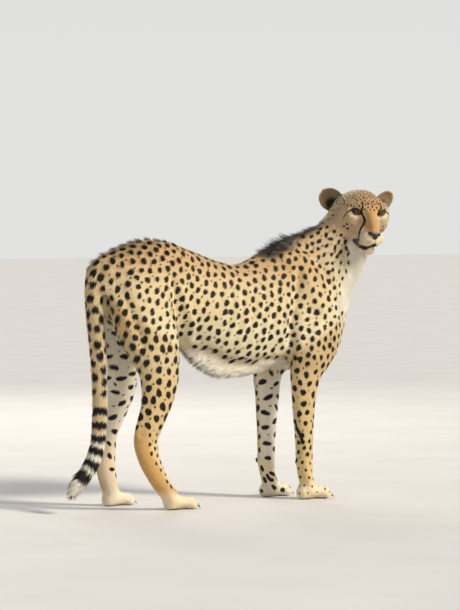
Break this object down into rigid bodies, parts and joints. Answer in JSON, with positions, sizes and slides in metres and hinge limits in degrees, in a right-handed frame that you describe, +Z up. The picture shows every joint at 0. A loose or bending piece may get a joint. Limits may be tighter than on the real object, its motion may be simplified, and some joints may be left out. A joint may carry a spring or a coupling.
{
  "type": "cheetah",
  "caption": "Life-size standing cheetah with a spotted coat, its head turned to its right and its tail hanging, as a still model.",
  "frame": {"origin": "on the floor under the middle of the animal's box", "axes": "+X the way the body faces, +Y the animal's left, +Z up"},
  "size_m": [1.1714, 0.3242, 0.9416],
  "materials": {
    "coat": "matte short fur",
    "eye": "wet gloss",
    "nose": "damp satin",
    "claw": "satin horn"
  },
  "bodies": {
    "root": {"trunk": "coat", "neck": "coat", "head": "coat", "ear_left": "coat", "ear_right": "coat", "upper_arm_left": "coat", "forearm_left": "coat", "forefoot_left": "coat", "thigh_left": "coat", "shank_left": "coat", "hindfoot_left": "coat", "upper_arm_right": "coat", "forearm_right": "coat", "forefoot_right": "coat", "thigh_right": "coat", "shank_right": "coat", "hindfoot_right": "coat", "tail_base": "coat", "tail_middle": "coat", "tail_lower": "coat", "tail_tip": "coat", "eye_left": "eye", "eye_right": "eye", "nose": "nose", "claw_fore_left_1": "claw", "claw_fore_left_2": "claw", "claw_fore_left_3": "claw", "claw_fore_left_4": "claw", "claw_fore_right_1": "claw", "claw_fore_right_2": "claw", "claw_fore_right_3": "claw", "claw_fore_right_4": "claw", "claw_hind_left_1": "claw", "claw_hind_left_2": "claw", "claw_hind_left_3": "claw", "claw_hind_left_4": "claw", "claw_hind_right_1": "claw", "claw_hind_right_2": "claw", "claw_hind_right_3": "claw", "claw_hind_right_4": "claw", "dewclaw_left": "claw", "dewclaw_right": "claw"}
  },
  "joints": []
}
